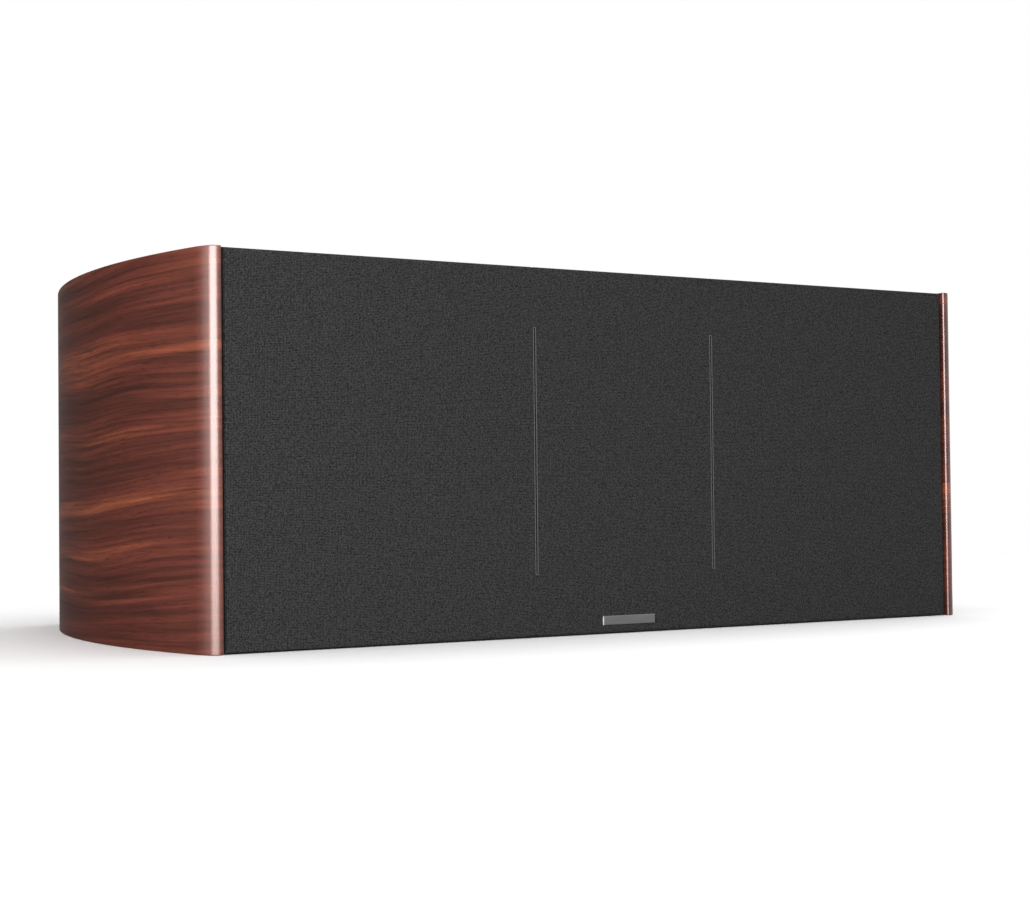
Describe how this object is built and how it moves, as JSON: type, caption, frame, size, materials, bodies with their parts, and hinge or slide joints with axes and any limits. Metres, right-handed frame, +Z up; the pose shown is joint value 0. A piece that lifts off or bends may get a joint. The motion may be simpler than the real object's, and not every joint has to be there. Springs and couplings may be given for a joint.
{
  "type": "center channel speaker",
  "caption": "Wide, low center channel speaker with bowed veneered sides, a pull-off cloth grille over its drivers, a slot port and clamping terminals at the back.",
  "frame": {"origin": "bottom of the cabinet, in the middle of its overall width and depth", "axes": "+X to the right as seen from the front, +Y from front to back, +Z up"},
  "size_m": [0.525, 0.303, 0.2],
  "materials": {
    "walnut_veneer": "figured walnut veneer under gloss lacquer",
    "baffle_black": "satin black paint on board",
    "raw_board": "raw fibreboard",
    "wadding": "loose polyester wadding",
    "grille_cloth": "fine woven acoustic cloth",
    "grille_frame": "moulded, fine grain",
    "slit_rim": "smooth grey",
    "badge": "brushed and anodised",
    "magnet": "nickel plated",
    "steel": "zinc plated",
    "basket": "satin black on cast alloy",
    "surround": "matt",
    "spider": "resin-dipped woven cloth",
    "cone": "woven fibre, satin",
    "plate_plastic": "fine grain",
    "dome": "coated fabric",
    "foil": "pleated film with metal traces",
    "pole_steel": "black",
    "screw": "black oxide",
    "rear_plastic": "fine grain",
    "post_brass": "gold plated",
    "knob_red": "clear cap over red",
    "knob_black": "smooth",
    "board_green": "solder mask",
    "nylon": "natural",
    "core_steel": "laminated",
    "capacitor": "moulded box",
    "ceramic": "cement case"
  },
  "bodies": {
    "cabinet": {"side_panel_left": "walnut_veneer", "side_panel_right": "walnut_veneer", "top_panel": "walnut_veneer", "bottom_panel": "walnut_veneer", "front_baffle": "baffle_black", "rear_panel": "baffle_black", "brace_left": "raw_board", "brace_right": "raw_board", "wadding_left": "wadding", "wadding_right": "wadding", "grille_keepers": "steel", "woofer_baskets": "basket", "woofer_surrounds": "surround", "woofer_spiders": "spider", "motor_pots": "steel", "motor_magnets": "magnet", "motor_pole_plates": "steel", "centre_plate": "plate_plastic", "midrange_dome": "dome", "midrange_chamber": "plate_plastic", "tweeter_frame": "pole_steel", "tweeter_magnets": "magnet", "tweeter_pleats": "foil", "tweeter_cup": "plate_plastic", "driver_screws": "screw", "terminal_cup": "rear_plastic", "terminal_studs": "post_brass", "port_duct": "rear_plastic", "crossover_board": "board_green", "crossover_pillars": "nylon", "crossover_inductors": "core_steel", "crossover_capacitors": "capacitor", "crossover_resistors": "ceramic"},
    "grille": {"grille_frame": "grille_frame", "grille_cloth": "grille_cloth", "slit_rims": "slit_rim", "badge_plate": "badge", "grille_magnets": "magnet"},
    "cone_left": {"woofer_cone_left": "cone"},
    "cone_right": {"woofer_cone_right": "cone"},
    "knob_positive": {"terminal_knob_positive": "knob_red"},
    "knob_negative": {"terminal_knob_negative": "knob_black"}
  },
  "joints": [
    {"name": "grille_pull", "type": "slide", "parent": "cabinet", "child": "grille", "axis": [0, -1, 0], "range_m": [0, 0.06]},
    {"name": "cone_left_travel", "type": "slide", "parent": "cabinet", "child": "cone_left", "axis": [0, -1, 0], "range_m": [-0.003, 0.003], "stiffness_N_per_m": 1000, "deforming": ["woofer_surrounds", "woofer_spiders"]},
    {"name": "cone_right_travel", "type": "slide", "parent": "cabinet", "child": "cone_right", "axis": [0, -1, 0], "range_m": [-0.003, 0.003], "stiffness_N_per_m": 1000, "deforming": ["woofer_surrounds", "woofer_spiders"]},
    {"name": "knob_positive_turn", "type": "hinge", "parent": "cabinet", "child": "knob_positive", "pos_m": [0.016, 0.1428, 0.125], "axis": [0, 1, 0], "range_deg": [0, 1440]},
    {"name": "knob_negative_turn", "type": "hinge", "parent": "cabinet", "child": "knob_negative", "pos_m": [-0.016, 0.1428, 0.125], "axis": [0, 1, 0], "range_deg": [0, 1440]}
  ]
}
